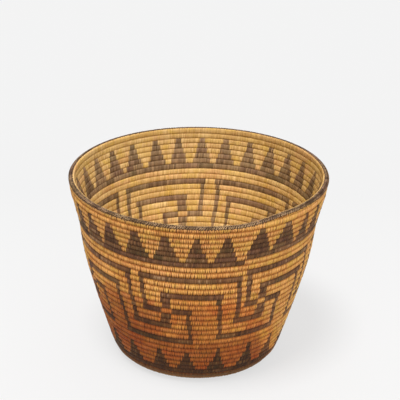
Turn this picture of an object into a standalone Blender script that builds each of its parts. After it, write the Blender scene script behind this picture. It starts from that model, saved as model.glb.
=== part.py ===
"""Coiled storage basket, a script for Blender 4.5.

The maker starts with a small plaited knot, coils a flat base round it, turns the coil up at the heel
and lets it climb the flaring wall, round upon round, as one rising spiral. The last round is thinned
so that the rim comes round to its own start, and a braided edge is sewn over it.

The coil is cut where each full turn ends, at the seam, so that every round is a piece of its own. It
butts against the round before it and lies on the round below it. A round here is the bundle of grass
with its stitches on. The stitches themselves are finer than this model shows.

Metres, +Z up, origin at the middle of the base, on the floor. The front is at -Y.
"""

import math

import bpy
from mathutils import Vector

MM = 0.001

# Driving dimensions of the whole basket.
RIM_RADIUS = 132.0 * MM  # to the outside of the wall at the rim
BASE_RADIUS = 84.3 * MM  # to the corner where the wall would meet the floor
HEIGHT = 199.0 * MM  # floor to the top of the braided edge
WALL_THICKNESS = 5.4 * MM
SEAT_GAP = 0.36 * MM  # between a round and the one below it
BUTT_GAP = 0.40 * MM  # between the end of a round and the start of the next
HEEL_REACH = 6.5 * MM  # how far from the corner the bend starts, on the base and on the wall

# Turns of the coil. Its rounds share out the base and the wall, at about four to the inch.
BASE_TURNS = 12
WALL_TURNS = 32

# Start knot, and the end of the coil at the rim.
KNOT_RADIUS = 6.4 * MM
KNOT_ROUNDING = 2.2 * MM
RIM_CLIMB_SHARE = 0.86  # share of the last turn in full rounds; over the rest the coil thins away
THINNEST_SHARE = 0.16  # the coil starts and ends with this share of its full section

# Braided edge: a cap over the shoulders of the last round.
BRAID_THICKNESS = 1.0 * MM
BRAID_REACH = 1.7 * MM  # how far it comes down on each side
BRAID_ROUNDING = 0.9 * MM  # across its upper corners

# The section of a round: flat seats, and a rib towards the outside and the inside.
SEAT_SHARE = 0.66  # seat width as a share of the wall's thickness
SOLE_SHARE = 0.62  # flat width under a round of the base, as a share of its width
LEAN_REACH_SHARE = 0.3  # the coil's lean is taken this far to each side, as a share of the thickness

# Outside of the wall: (share of the height, share of the flare from base to rim).
WALL_SHARES = [
    (0.00, 0.00),
    (0.06, 0.126),
    (0.18, 0.28),
    (0.36, 0.49),
    (0.62, 0.741),
    (0.75, 0.805),
    (0.87, 0.913),
    (0.94, 0.981),
    (1.00, 1.00),
]

# The maker's rounds are tight at the heel and fuller above it: (share of rounds, share of the wall).
ROUND_SHARES = [(0.0, 0.0), (0.15, 0.135), (0.40, 0.398), (0.70, 0.715), (1.0, 1.0)]

# The spiral runs clockwise, seen from above, from a seam at the right.
SEAM_ANGLE = math.radians(345.0)
STEPS_PER_TURN = 24
STEPS_NEAR_KNOT = 12
ROUNDS_NEAR_KNOT = 4
SAMPLES = 600  # points on each stretch of the meridian
HEEL_BEND_LIMIT = math.radians(6.0)  # a round that bends more than this has the heel's section

LIGHT_WILLOW = (0.62, 0.40, 0.19)
BROWN_WILLOW = (0.40, 0.19, 0.075)
DARK_CLAW = (0.045, 0.030, 0.022)
DARK_WALL_ROUNDS = (3, 25)  # solid dark bands, counted up from the heel
STITCH_ROUGHNESS = 0.62
BRAID_ROUGHNESS = 0.60
KNOT_ROUGHNESS = 0.65


def clear_scene():
    for thing in list(bpy.data.objects):
        bpy.data.objects.remove(thing, do_unlink=True)


def new_collection(name):
    collection = bpy.data.collections.new(name)
    bpy.context.scene.collection.children.link(collection)
    return collection


def principled(name, colour, roughness):
    material = bpy.data.materials.new(name)
    material.use_nodes = True
    shader = material.node_tree.nodes["Principled BSDF"]
    shader.inputs["Base Color"].default_value = (*colour, 1.0)
    shader.inputs["Roughness"].default_value = roughness
    shader.inputs["Metallic"].default_value = 0.0
    material.diffuse_color = (*colour, 1.0)
    return material


def mix(first, second, share):
    return tuple(a + (b - a) * share for a, b in zip(first, second))


def curve_through(table, at):
    """Smooth value at a place in a table of pairs, with no overshoot between its points."""
    last = len(table) - 2
    i = max(k for k in range(last + 1) if k == 0 or table[k][0] <= at)

    def slope(k):
        return (table[k + 1][1] - table[k][1]) / (table[k + 1][0] - table[k][0])

    def tangent(k):
        before = slope(max(k - 1, 0))
        after = slope(min(k, last))
        return 2.0 * before * after / (before + after)

    (x0, y0), (x1, y1) = table[i], table[i + 1]
    width = x1 - x0
    t = (at - x0) / width
    blend = t * t * (3.0 - 2.0 * t)
    lean_in = t * (1.0 - t) * (1.0 - t)
    lean_out = -t * t * (1.0 - t)
    return y0 + (y1 - y0) * blend + width * (tangent(i) * lean_in + tangent(i + 1) * lean_out)


class Meridian:
    """Path of the coil's centre from the middle of the base to the top of the wall."""

    def __init__(self):
        corner = Vector((BASE_RADIUS - WALL_THICKNESS / 2, WALL_THICKNESS / 2))
        wall = [self.wall_point(k / SAMPLES) for k in range(SAMPLES + 1)]
        wall = [point for point in wall if (point - corner).length > HEEL_REACH]
        start = corner - Vector((HEEL_REACH, 0.0))
        heel = [self.heel_point(start, corner, wall[0], k / SAMPLES) for k in range(SAMPLES)]
        self.points = [Vector((0.0, corner.y))] + heel + wall
        self.lengths = [0.0]
        for a, b in zip(self.points, self.points[1:]):
            self.lengths.append(self.lengths[-1] + (b - a).length)
        self.length = self.lengths[-1]
        self.heel_length = self.lengths[1 + SAMPLES // 2]

    @staticmethod
    def wall_point(share):
        flare = curve_through(WALL_SHARES, share)
        radius = BASE_RADIUS + (RIM_RADIUS - BASE_RADIUS) * flare
        top = HEIGHT - BRAID_THICKNESS - SEAT_GAP
        return Vector((radius - WALL_THICKNESS / 2, top * share))

    @staticmethod
    def heel_point(start, corner, end, t):
        return start * (1 - t) ** 2 + corner * 2 * t * (1 - t) + end * t * t

    def at(self, length):
        length = min(max(length, 0.0), self.length)
        low, high = 0, len(self.lengths) - 1
        while high - low > 1:
            middle = (low + high) // 2
            if self.lengths[middle] <= length:
                low = middle
            else:
                high = middle
        share = (length - self.lengths[low]) / (self.lengths[high] - self.lengths[low])
        return self.points[low].lerp(self.points[high], share)

    def lean(self, length):
        """Angle of the wall from upright: a quarter turn on the base, small near the rim."""
        reach = WALL_THICKNESS * LEAN_REACH_SHARE
        run = self.at(length + reach) - self.at(length - reach)
        return math.atan2(run.x, run.y)


class Coil:
    """The spiral: which stretch of the meridian each round covers, at each share of its turn."""

    def __init__(self, meridian):
        self.meridian = meridian
        self.start = KNOT_RADIUS + SEAT_GAP / 2
        self.base_spacing = (meridian.heel_length - self.start) / BASE_TURNS
        self.wall_spacing = (meridian.length - meridian.heel_length) / (WALL_TURNS + RIM_CLIMB_SHARE)
        self.rise = self.wall_spacing * RIM_CLIMB_SHARE
        self.last = BASE_TURNS + WALL_TURNS

    def edge(self, turns):
        """Length along the meridian after a number of turns, which need not be whole."""
        climbed = turns - BASE_TURNS
        if climbed <= 0:
            return self.start + self.base_spacing * max(turns, 0.0)
        share = curve_through(ROUND_SHARES, min(climbed / WALL_TURNS, 1.0))
        return self.meridian.heel_length + self.wall_spacing * WALL_TURNS * share

    def rim_rise(self, turn):
        """The rim climbs with the coil, and comes down to its own start where the coil thins away."""
        return self.rise * min(turn / RIM_CLIMB_SHARE, (1.0 - turn) / (1.0 - RIM_CLIMB_SHARE))

    def edges(self, index, turn):
        """Lower and upper edge of a round at a share of its turn. Round 0 is thinned at its start."""
        lower = self.edge(index - 1 + turn)
        upper = self.edge(index + turn)
        if index == self.last:
            upper += self.rim_rise(turn)
        return lower, upper

    def bend(self, index):
        """How far the meridian turns across one round, half way along it."""
        low, high = self.edges(index, 0.5)
        return self.meridian.lean(low) - self.meridian.lean(high)

    def centre(self, index, turn, radius_share=1.0):
        """Place, lean and share of the full section, at a share of the round's turn."""
        lower, upper = self.edges(index, turn)
        middle = (lower + upper) / 2
        place = around(self.meridian.at(middle), turn, radius_share)
        share = (upper - lower - SEAT_GAP) / self.height(index)
        return place, self.meridian.lean(middle), min(share, 1.0) if index < BASE_TURNS else share

    def height(self, index):
        """Height of a full round, without the gap to the next."""
        spacing = self.base_spacing if index < BASE_TURNS else self.wall_spacing
        return spacing - SEAT_GAP


def around(flat, turn, radius_share=1.0):
    """A point of the meridian carried round to a share of a turn."""
    angle = SEAM_ANGLE - 2 * math.pi * turn
    radius = flat.x * radius_share
    return Vector((radius * math.cos(angle), radius * math.sin(angle), flat.y))


def section_guide(name, points, collection):
    """A closed outline that a curve takes as its section, with +X towards the outside."""
    data = bpy.data.curves.new(name, "CURVE")
    data.dimensions = "2D"
    spline = data.splines.new("POLY")
    spline.points.add(len(points) - 1)
    for target, (x, y) in zip(spline.points, points):
        target.co = (x, y, 0.0, 1.0)
    spline.use_cyclic_u = True
    guide = bpy.data.objects.new(name, data)
    guide.hide_render = True
    guide.display_type = "WIRE"
    collection.objects.link(guide)
    return guide


def wall_section(height, bend=0.0):
    """Six sides: seats above and below, a rib outwards and one inwards.

    Where the coil bends up at the heel, the inner side is drawn in, so that rounds clear each other.
    """
    seat = WALL_THICKNESS * SEAT_SHARE / 2
    rib = WALL_THICKNESS / 2
    half = height / 2
    inner = half - 2 * seat * math.tan(bend / 2)
    return [(-seat, -inner), (-rib, 0.0), (-seat, inner), (seat, half), (rib, 0.0), (seat, -half)]


def base_section(height):
    """As the wall's section, but flat underneath, where the basket stands on it."""
    seat = WALL_THICKNESS * SEAT_SHARE / 2
    rib = WALL_THICKNESS / 2
    half = height / 2
    sole = height * SOLE_SHARE / 2
    inside = [(-seat, -half), (-rib, 0.0), (-seat, half)]
    underside = [(seat, half), (rib, sole), (rib, -sole), (seat, -half)]
    return inside + underside


def braid_section(height):
    """A channel turned over, which clears the seat and the shoulders of the last round."""
    seat = WALL_THICKNESS * SEAT_SHARE / 2
    shoulder = seat + (WALL_THICKNESS / 2 - seat) * BRAID_REACH / (height / 2)
    neck = seat + SEAT_GAP
    mouth = shoulder + SEAT_GAP
    side = mouth + BRAID_THICKNESS / 2
    top = BRAID_THICKNESS
    right = [(neck, 0.0), (mouth, -BRAID_REACH), (side, -BRAID_REACH)]
    right += [(side, top - BRAID_ROUNDING), (side - BRAID_ROUNDING, top)]
    left = [(-x, y) for x, y in reversed(right)]
    return list(reversed(right)) + list(reversed(left))


def swept(name, places, guide, closed, material, collection):
    """A tube along places, each with its lean and section share, with the guide as its section.

    The places are listed anticlockwise, seen from above, which keeps the section's +X outwards.
    """
    data = bpy.data.curves.new(name, "CURVE")
    data.dimensions = "3D"
    data.twist_mode = "Z_UP"
    data.bevel_mode = "OBJECT"
    data.bevel_object = guide
    data.use_fill_caps = not closed
    spline = data.splines.new("POLY")
    spline.points.add(len(places) - 1)
    for target, (place, lean, share) in zip(spline.points, places):
        target.co = (*place, 1.0)
        target.tilt = lean
        target.radius = share
    spline.use_cyclic_u = closed
    piece = bpy.data.objects.new(name, data)
    data.materials.append(material)
    collection.objects.link(piece)


def facet_corners(steps):
    return [(k + 0.5) / steps for k in range(steps)]


def round_places(coil, index):
    """Corners of one round's facets, and its two ends, which lie half way along a facet."""
    steps = STEPS_NEAR_KNOT if index < ROUNDS_NEAR_KNOT else STEPS_PER_TURN
    places = [coil.centre(index, turn) for turn in facet_corners(steps)]
    on_chord = math.cos(math.pi / steps)
    first = coil.centre(index, 0.0, on_chord)
    last = coil.centre(index, 1.0, on_chord)
    first = cut_back(first, places[0])
    last = cut_back(last, places[-1])
    kept = [place for place in [first, *places, last] if place[2] >= THINNEST_SHARE]
    return list(reversed(kept))


def cut_back(end, neighbour):
    place, lean, share = end
    return place + (neighbour[0] - place).normalized() * BUTT_GAP / 2, lean, share


def make_rounds(coil, collection, guides):
    bends = [coil.bend(index) for index in range(coil.last + 1)]
    base_height, wall_height = coil.height(0), coil.height(coil.last)
    base_guide = section_guide("base_section", base_section(base_height), guides)
    heel_guide = section_guide("heel_section", wall_section(wall_height, max(bends)), guides)
    wall_guide = section_guide("wall_section", wall_section(wall_height), guides)
    for index, bend in enumerate(bends):
        climbed = index - BASE_TURNS
        if climbed < 1:
            name, colour = f"base_round_{index + 1:02d}", BROWN_WILLOW
        elif climbed in DARK_WALL_ROUNDS:
            name, colour = f"wall_round_{climbed:02d}", DARK_CLAW
        else:
            name = f"wall_round_{climbed:02d}"
            colour = mix(BROWN_WILLOW, LIGHT_WILLOW, climbed / WALL_TURNS)
        guide = base_guide if climbed < 1 else wall_guide
        if bend > HEEL_BEND_LIMIT:
            guide = heel_guide
        material = principled(name, colour, STITCH_ROUGHNESS)
        swept(name, round_places(coil, index), guide, False, material, collection)


def make_braid(coil, collection, guides):
    guide = section_guide("braid_section", braid_section(coil.height(coil.last)), guides)
    length = coil.meridian.length
    places = []
    for turn in facet_corners(STEPS_PER_TURN):
        flat = coil.meridian.at(length - coil.rise + coil.rim_rise(turn))
        flat = flat + Vector((0.0, SEAT_GAP / 2))
        places.append((around(flat, turn), coil.meridian.lean(length), 1.0))
    places.reverse()
    material = principled("rim_braid", DARK_CLAW, BRAID_ROUGHNESS)
    swept("rim_braid", places, guide, True, material, collection)


def make_knot(collection):
    bpy.ops.mesh.primitive_cylinder_add(
        vertices=STEPS_NEAR_KNOT,
        radius=KNOT_RADIUS - SEAT_GAP / 2,
        depth=WALL_THICKNESS,
        location=(0.0, 0.0, WALL_THICKNESS / 2),
    )
    knot = bpy.context.object
    knot.name = "start_knot"
    rounding = knot.modifiers.new("rounded top", "BEVEL")
    rounding.width = KNOT_ROUNDING
    rounding.segments = 2
    rounding.limit_method = "WEIGHT"
    weights = knot.data.attributes.new("bevel_weight_edge", "FLOAT", "EDGE")
    for edge in knot.data.edges:
        ends = [knot.data.vertices[i].co.z for i in edge.vertices]
        weights.data[edge.index].value = 1.0 if min(ends) > 0.0 else 0.0
    knot.data.materials.append(principled("start_knot", BROWN_WILLOW, KNOT_ROUGHNESS))
    for owner in list(knot.users_collection):
        owner.objects.unlink(knot)
    collection.objects.link(knot)


def print_sizes(coil):
    """Spacing of the rounds, and the least gap of the coil to itself, on its points."""
    least = math.inf
    for index in range(1, coil.last - 1):
        for turn in facet_corners(STEPS_PER_TURN):
            place, _, share = coil.centre(index, turn)
            above, _, share_above = coil.centre(index + 1, turn)
            filled = (coil.height(index) * share + coil.height(index + 1) * share_above) / 2
            least = min(least, (above - place).length - filled)
    print(f"spacing {coil.base_spacing / MM:.3f} mm in the base, {coil.wall_spacing / MM:.3f} mm in the wall")
    print(f"least gap between rounds {least / MM:.3f} mm")


def main():
    clear_scene()
    basket = new_collection("coiled_storage_basket")
    guides = new_collection("guides")
    coil = Coil(Meridian())
    make_knot(basket)
    make_rounds(coil, basket, guides)
    make_braid(coil, basket, guides)
    print_sizes(coil)


main()
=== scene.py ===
"""Looks of the coiled storage basket, a script for Blender 4.5.

Each round of the coil is one piece, and every stitch on it is modelled: a flat splint that comes
out of the round below, wraps the bundle of grass and goes back into the round below. Light stitches
are willow and dark ones are devil's claw. The pattern is counted in stitches and rounds, as the
maker counts it: points over a solid band, a running fret, and points down to a second band.

Metres, +Z up, the front at -Y. Azimuths are in degrees: 270 is the front, and they grow to the
right. Rows are rounds of the wall counted down from the rim. Turns are shares of one turn of the
coil, from the seam, clockwise from above.
"""

import math

import bpy
import numpy as np
from mathutils import Matrix, Vector

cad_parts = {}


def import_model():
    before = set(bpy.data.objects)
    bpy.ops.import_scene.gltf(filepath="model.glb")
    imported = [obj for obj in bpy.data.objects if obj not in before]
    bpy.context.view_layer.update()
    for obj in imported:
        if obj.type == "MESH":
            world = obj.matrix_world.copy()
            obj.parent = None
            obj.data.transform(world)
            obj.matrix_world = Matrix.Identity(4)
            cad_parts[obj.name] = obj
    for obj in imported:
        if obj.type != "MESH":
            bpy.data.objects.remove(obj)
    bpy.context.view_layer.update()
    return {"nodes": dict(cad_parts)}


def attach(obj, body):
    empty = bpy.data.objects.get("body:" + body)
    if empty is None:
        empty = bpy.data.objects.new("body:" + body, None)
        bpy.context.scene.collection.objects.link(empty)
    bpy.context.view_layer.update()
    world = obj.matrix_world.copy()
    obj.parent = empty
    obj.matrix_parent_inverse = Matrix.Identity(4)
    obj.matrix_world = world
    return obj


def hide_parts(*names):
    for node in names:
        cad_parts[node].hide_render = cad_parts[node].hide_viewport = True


MM = 0.001
FULL_TURN = 360.0
SEED = 32

# The coil, as in the part's source, but drawn in a little, because its stitches stand out from it.
RIM_RADIUS = 131.4 * MM
BASE_RADIUS = 84.0 * MM
HEIGHT = 199.0 * MM
WALL_THICKNESS = 5.4 * MM
SEAT_GAP = 0.36 * MM
HEEL_REACH = 6.5 * MM
BASE_TURNS = 12
WALL_TURNS = 32
KNOT_RADIUS = 6.4 * MM
BRAID_THICKNESS = 1.0 * MM
SEAM_DEGREES = 345.0
SAMPLES = 600
TOP_SAMPLES = 8  # as many of the path's last points give its lean past the top
LEAN_REACH_SHARE = 0.3
WALL_SHARES = [  # (share of the height, share of the way from the base's radius to the rim's)
    (0.00, 0.00), (0.06, 0.126), (0.18, 0.28), (0.36, 0.49), (0.62, 0.741),
    (0.75, 0.805), (0.87, 0.913), (0.94, 0.981), (1.00, 1.00),
]
ROUND_SHARES = [  # (share of the wall's turns, share of its length that they cover)
    (0.0, 0.0), (0.15, 0.135), (0.40, 0.398), (0.70, 0.715), (1.0, 1.0),
]

# The coil's end, in turns of the last round. It runs on over its own start, as in the photograph.
RIM_CLIMB_SHARE = 0.86  # by here the rim has climbed as high as it gets: this share of a round
COIL_THINS = 1.098  # from here
COIL_END = 1.163  # to its end here
COIL_END_WIDTH = 0.40  # as a share of its full width

# Stitches. Places on a section are shares of half the wall's thickness (out) and half a round (up).
STITCH_PITCH = 1.62 * MM
FEWEST_STITCHES = 12  # to a round, at the knot
STITCH_SLANT = 0.55 * MM  # how far it slants along the coil where it shows on one side
SLANT_REACH = 1.9  # times that from its middle to each end
STITCH_CROWN = 0.26 * MM  # how far its middle stands over the round's surface
STITCH_EDGE = 0.42 * MM  # how far its sides sink below it
STITCH_ACROSS = [(-0.50, -1.0), (-0.18, 1.0), (0.18, 1.0), (0.50, -1.0)]  # (share of pitch, raised)
STITCH_TAPER = [  # its width by fold, which is 0 at its ends and 0.5 on top of the round
    (0.0, 0.10, 0.20, 0.28, 0.36, 0.44, 0.50),
    (0.50, 0.64, 0.82, 0.98, 1.03, 0.92, 0.80),
]
STITCH_RELIEF = [(0.0, 0.20, 0.30, 0.40, 0.50), (1.0, 1.0, 0.72, 0.60, 0.65)]  # of crown and edge
STITCH_WRAP = (-58, -36, -12, 12, 36, 60, 90, 120, 144, 168, 192, 216, 238)  # degrees round it
STITCH_TAILS = [(0.28, -1.25), (0.52, -1.06)]  # (out, up) of the ends, in the round below
INNER_START = 0.1  # of a stitch's progress, from -1 outside to 1 inside
INNER_RELIEF = 0.75  # how much of the crown and edge a stitch has inside
PLACE_VARIES = 0.07  # spreads, each as a share of the mean
WIDTH_VARIES = 0.10
SLANT_VARIES = 0.35
CROWN_VARIES = 0.28
OUTER_POWER = 2.6  # of the section: 2 is an ellipse, more is squarer
INNER_POWER = 4.4
WAVER = 0.16 * MM  # how unevenly the rounds are drawn up
WAVER_PHASE = 2.4  # what each round adds to it
WAVER_WAVES = ((0.5, 3, 1.0), (0.3, 7, 2.1), (0.2, 17, 0.0))  # (height, waves to a turn, phase)

# Tone and hue of the splints, from 0 to 1.
SPLINT_RUN = (7, 26)  # how many stitches one splint makes: at least, and fewer than
SPLINT_TONE = 0.5
SPLINT_TONE_VARIES = 0.17
STITCH_TONE_VARIES = 0.24
STITCH_HUE_VARIES = 0.08

# The grass inside a round.
BUNDLE_SHARE = 0.86  # how thick it is, as a share of the round
BUNDLE_STEPS = 288
BUNDLE_SIDES = 10
BUNDLE_SHADE_LIGHT = 0.10  # painted shade: how dark the grass is made between willow stitches inside
BUNDLE_SHADE_DARK = 0.85  # and between dark ones, and everywhere outside, as dark as devil's claw
BUNDLE_TONE = 0.3
BUNDLE_HUE = 0.5
BUNDLE_OUTSIDE = 0.1  # how far out its outer side starts, as a share of its half width

# Places on the baked picture: strips of stitches side by side, then one strip for the grass.
BAKE_STRIPS = 7
BAKE_ACROSS = 0.86  # how much of its width there a stitch fills
BAKE_ALONG = (0.03, 0.94)  # where it starts in its strip, and how much of it it fills
BAKE_GRASS = (0.1, 0.8)

# Pattern, in degrees and in rows.
JOG_DEGREES = 292.0  # where each row of the pattern starts, one round higher
FRET_JOG_DEGREES = 285.0
FOOT_JOG_DEGREES = 275.0
FRET_JOG_ROWS = range(12, 22)
FOOT_JOG_ROWS = (22, 23)
BAND_ROWS = (8, 30)
WORN_ROW = 31  # dark too, but rubbed
WORN_DARK = 0.76
UPPER_WIDTHS = {3: 3.2, 4: 5.0, 5: 6.8, 6: 8.8, 7: 10.9}
UPPER_POINTS = (  # (middle, width as a share of the full width)
    (12.4, 0.85), (25.9, 0.80), (38.0, 0.82), (50.2, 0.85), (62.4, 0.82), (75.7, 0.88),
    (88.2, 0.86), (100.6, 0.80), (113.0, 0.84), (126.3, 0.95), (139.2, 0.90), (152.0, 0.90),
    (164.3, 0.95), (177.5, 0.95), (191.0, 0.95), (205.4, 0.98), (217.2, 0.98), (229.4, 0.99),
    (243.1, 1.03), (256.9, 1.02), (269.9, 0.83), (282.8, 0.93), (297.7, 1.00), (311.2, 1.16),
    (323.4, 0.70), (334.0, 0.85), (346.4, 0.90), (359.4, 0.90),
)
LOWER_WIDTHS = {25: 2.2, 26: 2.9, 27: 5.2, 28: 8.0, 29: 11.0}
LOWER_POINTS = (
    14.6, 32.4, 50.9, 68.6, 86.7, 105.2, 122.9, 141.0, 159.4, 176.8,
    194.9, 212.4, 229.6, 248.9, 264.8, 283.1, 302.6, 320.4, 338.5, 356.2,
)
TALL_LOWER_POINTS = (283.1, 302.6, 320.4, 338.5)  # only these have the first of the rows
FRET_BARS = (11, 14, 17, 20, 23)  # rows of its level bars
FRET_LEAN = 0.25  # degrees for each row down
UPRIGHT = 2.4
FRET_UNITS = (  # start, then what lies after it: blocks above and below, inner, outer, end uprights
    (31.0, (9.0, 15.0), (8.6, 14.0), 22.5, 40.2, 47.2),
    (86.6, (9.8, 15.4), (9.8, 15.0), 22.5, 38.6, 45.2),
    (140.0, (10.0, 14.8), (9.5, 14.3), 22.4, 38.0, 44.6),
    (191.0, (10.3, 15.0), (9.6, 14.4), 24.0, 37.5, 45.2),
    (243.0, (10.3, 14.9), (9.4, 14.3), 22.6, 38.0, 46.2),
    (294.2, (7.1, 11.5), (7.0, 12.4), 19.2, 33.2, 39.4),
    (341.8, (9.2, 14.0), (8.8, 13.6), 21.6, 36.6, 43.0),
)

# The record's material slots, by round of the wall.
SOLID_ROUNDS = tuple(WALL_TURNS + 1 - row for row in BAND_ROWS)
HEEL_TOP = 8
MIDDLE_TOP = 22

# The braid over the last round.
BRAID_STRANDS = 3
BRAID_WAVES = 122
BRAID_STEPS = 12  # to each wave
BRAID_DRIFT = 0.5  # how unevenly the waves follow each other
BRAID_DRIFTS = 31  # and how often to a turn
BRAID_HUES = 9  # how often its hue goes up and down
BRAID_RIGHT = 0.9 * MM  # how much wider it is at the right
BRAID_RIGHT_AT = 0.980  # in turns
BRAID_RIGHT_REACH = 0.050
BRAID_MIDDLE = 1.4 * MM  # it reaches further down outside than inside
BRAID_REACH = 2.45 * MM
BRAID_SWING = 0.68  # how far a strand swings to each side, as a share of the reach
BRAID_WEAVE = 0.36 * MM  # how far it goes up and down
BRAID_CREST = 0.20 * MM  # how much higher the whole braid stands
BRAID_CENTRE = -2.4 * MM  # what it bulges away from, below the crest
BRAID_ARCH = [  # way along the arch from its crest, then how far out and how far down, in mm
    (0.0, 0.0, 0.0), (1.1, 1.09, 0.10), (2.2, 2.10, 0.50),
    (3.2, 2.80, 1.20), (4.2, 3.22, 2.05), (6.4, 3.27, 4.25),
]
STRAND_WIDTH = 0.31  # as a share of the reach, to each side
STRAND_SWELL = 0.25
STRAND_PROFILE = [(-1.0, -0.9), (-0.5, 0.5), (0.0, 0.8), (0.5, 0.5), (1.0, -0.9)]
STRAND_RAISED = 0.24  # mm
LINING_WAYS = np.linspace(-0.98, 0.98, 7)  # of what lies under the strands, by reach
LINING_LIFT = -0.10 * MM
TEETH_PITCH = 2.9 * MM
TEETH_WIDTH = 0.90 * MM
TEETH_LENGTH = 1.6 * MM
TEETH_PLACE_VARIES = 0.12
TEETH_LENGTH_VARIES = 0.30  # mm
TEETH_OVERLAP = 0.5 * MM
TEETH_TAPER = 0.45
TEETH_LEAN = 0.7 * MM
TEETH_DIP = 0.5  # mm, at its tip
TOOTH_SHARES = (0.0, 0.5, 1.0)  # of its length
TOOTH_PROFILE = ((-1, -0.12), (0, 0.20), (1, -0.12))  # (share of its width, height in mm)
TOOTH_ACROSS = (0.1, 0.5, 0.9)

# The plaited knot.
KNOT_STRANDS = 6
KNOT_STEPS = 24
KNOT_FILL = 0.98
KNOT_PROFILE = [(-1.0, -1.0), (-0.5, 0.6), (0.5, 0.6), (1.0, -1.0)]
KNOT_STRAND_WIDTH = 0.47  # to each side, as a share of the pitch
KNOT_WEAVE = 0.28  # mm
KNOT_RAISED = 0.16  # mm
KNOT_INSET = 0.75 * MM
KNOT_DROP = 0.5 * MM  # at its edge
KNOT_DROP_POWER = 4
KNOT_ALONG = (0.2, 0.8)

# Colours, as linear red, green and blue.
OUTSIDE_PALE = (0.94, 0.50, 0.135)
OUTSIDE_DEEP = (0.55, 0.225, 0.042)
INSIDE_PALE = (0.895, 0.635, 0.268)
INSIDE_DEEP = (0.585, 0.345, 0.098)
PINKISH = (0.74, 0.31, 0.15)
GOLDEN = (0.74, 0.48, 0.085)
CROWN_HIGHLIGHT = (0.95, 0.60, 0.26)  # painted highlight on the crowns of the stitches
CLAW_PALE = (0.31, 0.158, 0.066)
CLAW_DEEP = (0.085, 0.038, 0.014)
CLAW_FADED = (0.455, 0.295, 0.148)  # inside, where the light has paled it
CLAW_FADED_DEEP = (0.155, 0.090, 0.042)
PURPLISH = (0.20, 0.09, 0.065)
GREENISH = (0.16, 0.13, 0.045)
SCRATCHED = (0.46, 0.32, 0.18)  # where the dark skin of a splint has cracked
FOOT_TAN = (0.32, 0.218, 0.098)
BRAID_PALE = (0.27, 0.165, 0.085)
BRAID_DEEP = (0.085, 0.047, 0.022)
BRAID_PURPLE = (0.20, 0.10, 0.095)
BRAID_WORN = (0.48, 0.32, 0.16)
BRAID_FLECK = (0.66, 0.50, 0.32)
BRAID_TOOTH = (0.12, 0.06, 0.028)

# What wear and dirt, painted shade and painted light leave of each colour.
LOWER_END_SHADE = (0.95, 0.80, 0.55)  # painted shade on a stitch, near its ends in the round below
RUDDY = (0.95, 0.76, 0.68)  # in spots on the lower half
AMBER = (0.93, 0.76, 0.57)  # darker and more orange on the lower half outside
HEEL_BROWN_AND_SHADE = (0.55, 0.39, 0.33)  # near the heel: browning and painted shade
DARK_HEEL_BROWN_AND_SHADE = (0.46, 0.47, 0.38)
INSIDE_TOP_SHADE = (0.84, 0.84, 0.86)  # painted shade inside: the upper rounds are a little darker
INSIDE_RIGHT_SHADE = (0.89, 0.84, 0.72)  # painted shade inside: the right of every round is darker too
SIDES_PAINTED_LIGHT = (1.06, 1.15, 1.22)  # painted light: both sides outside are lighter
PATINA = (0.70, 0.58, 0.48)  # in patches
FIBRE_DARK = (0.64, 0.52, 0.42)  # in streaks along a splint
GROOVE_SHADE = (0.46, 0.31, 0.18)  # painted shade between stitches and between rounds
BRAID_UNDER_SHADE = (0.23, 0.155, 0.10)  # painted shade where a strand passes under another
BRAID_PATCH = (0.42, 0.38, 0.33)  # in dark patches
BRAID_EDGE_SHADE = (0.20, 0.135, 0.085)  # painted shade at a strand's sides

# Where these lie: from one value to another, then, where given, their shares there.
PINK_HUES = (0.70, 1.0, 0.0, 0.30)
GOLD_HUES = (0.30, 0.0, 0.0, 0.45)
PURPLE_HUES = (0.70, 1.0, 0.0, 0.40)
GREEN_HUES = (0.30, 0.0, 0.0, 0.30)
CROWN_FOLDS = ((0.22, 0.30), (0.40, 0.33))  # where a crown starts, and where it ends
CROWN_HIGHLIGHT_EDGES = (0.26, 0.10, 0.0, 0.40)
LOWER_END_SHADE_FOLDS = (0.26, 0.16)
LOWER_END_SHADE_SIDES = (0.0, 1.0, 0.3, 0.8)  # inside, then outside
GOLD_SPOTS = (0.52, 0.68, 0.0, 0.55)
SCRATCHED_TONES = (0.90, 0.98, 0.0, 0.5)
PAINTED_LIGHT_LEFT = (-0.03, -0.07, 0.003, -0.008)  # by x, how much higher the lower colours lie: less high at the sides, as painted light
PAINTED_LIGHT_RIGHT = (0.060, 0.088, 0.0, -0.130)
BROWN_UNEVEN = (0.35, 0.65, -0.018, 0.018)
RUDDY_SPOTS = (0.50, 0.62)
RUDDY_HEIGHTS = (0.15, 0.10)
AMBER_HEIGHTS = (0.142, 0.074)
HEEL_BROWN_AND_SHADE_HEIGHTS = (0.078, 0.020)
HEEL_SHADE_LEFT = (0.04, -0.07, 0.0, 0.042)  # by x, how much higher it lies: higher at the left, as painted shade
INSIDE_TOP_SHADE_HEIGHTS = (0.135, 0.178)
INSIDE_RIGHT_SHADE_X = (0.01, 0.11)
SIDES_PAINTED_LIGHT_SHARES = (0.80, 0.95)  # of the way to each side
FOOT_HEIGHTS = (0.0105, 0.0055, 0.0, 0.80)
PATINA_SPOTS = (0.42, 0.72, 0.0, 0.50)
FIBRE_SPOTS = (0.35, 0.7, 0.0, 0.50)
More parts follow.
